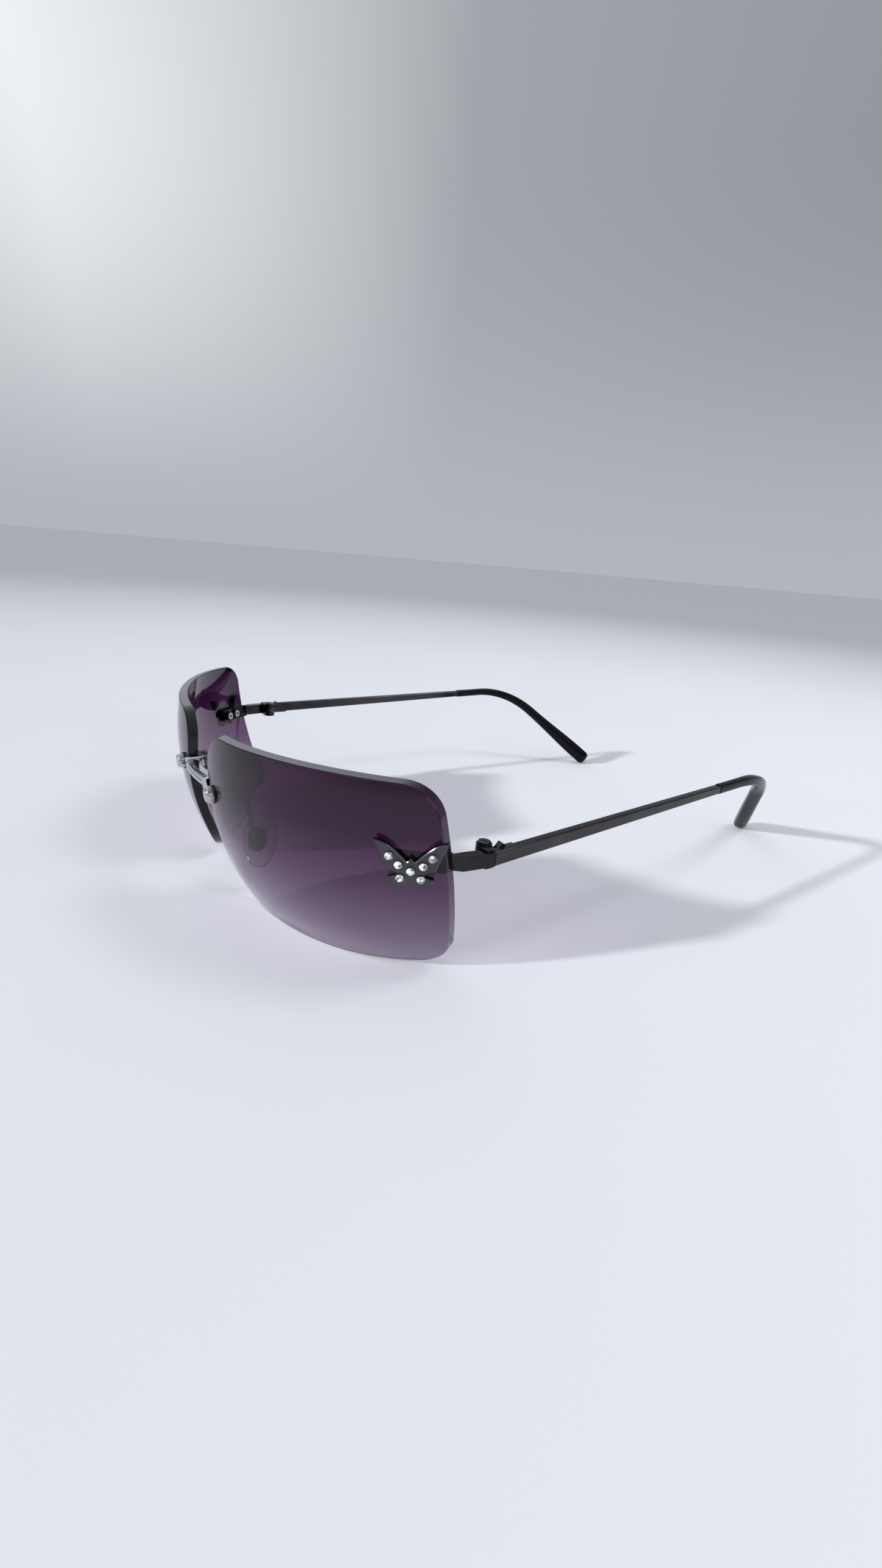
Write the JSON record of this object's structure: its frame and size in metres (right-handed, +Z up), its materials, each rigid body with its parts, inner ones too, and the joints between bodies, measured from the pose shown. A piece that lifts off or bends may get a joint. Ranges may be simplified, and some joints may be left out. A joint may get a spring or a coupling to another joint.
{
  "type": "rimless sunglasses",
  "caption": "Rimless wrap sunglasses with graduated tinted lenses, a metal double bridge, folding temples and a small stone-set butterfly on each lens.",
  "frame": {"origin": "middle of the open glasses, on the table they stand on", "axes": "+X the wearer's left, +Y back along the temples, +Z up; the lenses face -Y"},
  "size_m": [0.136, 0.186, 0.0449],
  "materials": {
    "bridge_chrome": "polished chrome",
    "lens_tint": "graduated plum-grey tint, glossy",
    "clear_sleeve": "clear plastic",
    "black_gasket": "soft black",
    "bright_steel": "polished",
    "dark_steel": "blackened, satin",
    "pad_wire": "satin gunmetal",
    "dark_box": "blackened, satin",
    "pad_core": "translucent grey",
    "clear_silicone": "clear soft silicone",
    "gunmetal": "polished gunmetal",
    "crystal": "faceted clear stone",
    "end_black": "gloss black",
    "gunmetal_temple": "glossy gunmetal",
    "tip_gloss": "gloss black"
  },
  "bodies": {
    "frame": {"bridge": "bridge_chrome", "left_lens": "lens_tint", "left_lens_bushings": "clear_sleeve", "left_bridge_gasket": "black_gasket", "left_bridge_washer": "bright_steel", "left_bridge_screw": "bright_steel", "left_bridge_nut": "dark_steel", "left_pad_arm": "pad_wire", "left_pad_box": "dark_box", "left_pad_screw": "bright_steel", "left_butterfly": "gunmetal", "left_crystals": "crystal", "left_end_piece": "end_black", "left_stud_nuts": "bright_steel", "left_hinge_screw": "dark_steel", "right_lens": "lens_tint", "right_lens_bushings": "clear_sleeve", "right_bridge_gasket": "black_gasket", "right_bridge_washer": "bright_steel", "right_bridge_screw": "bright_steel", "right_bridge_nut": "dark_steel", "right_pad_arm": "pad_wire", "right_pad_box": "dark_box", "right_pad_screw": "bright_steel", "right_butterfly": "gunmetal", "right_crystals": "crystal", "right_end_piece": "end_black", "right_stud_nuts": "bright_steel", "right_hinge_screw": "dark_steel"},
    "left_temple": {"left_temple": "gunmetal_temple", "left_temple_tip": "tip_gloss"},
    "right_temple": {"right_temple": "gunmetal_temple", "right_temple_tip": "tip_gloss"},
    "left_pad": {"left_nose_pad": "clear_silicone", "left_pad_insert": "pad_core"},
    "right_pad": {"right_nose_pad": "clear_silicone", "right_pad_insert": "pad_core"}
  },
  "joints": [
    {"name": "left_temple_fold", "type": "hinge", "parent": "frame", "child": "left_temple", "pos_m": [0.06336, -0.0506, 0.02855], "axis": [0, 0, 1], "range_deg": [0, 83]},
    {"name": "right_temple_fold", "type": "hinge", "parent": "frame", "child": "right_temple", "pos_m": [-0.06336, -0.0506, 0.02855], "axis": [0, 0, -1], "range_deg": [0, 50]},
    {"name": "left_pad_rock", "type": "hinge", "parent": "frame", "child": "left_pad", "pos_m": [0.0125, -0.08022, 0.0155], "axis": [0.5, 0.866, 0], "range_deg": [-8, 8]},
    {"name": "right_pad_rock", "type": "hinge", "parent": "frame", "child": "right_pad", "pos_m": [-0.0125, -0.08022, 0.0155], "axis": [-0.5, 0.866, 0], "range_deg": [-8, 8]}
  ]
}
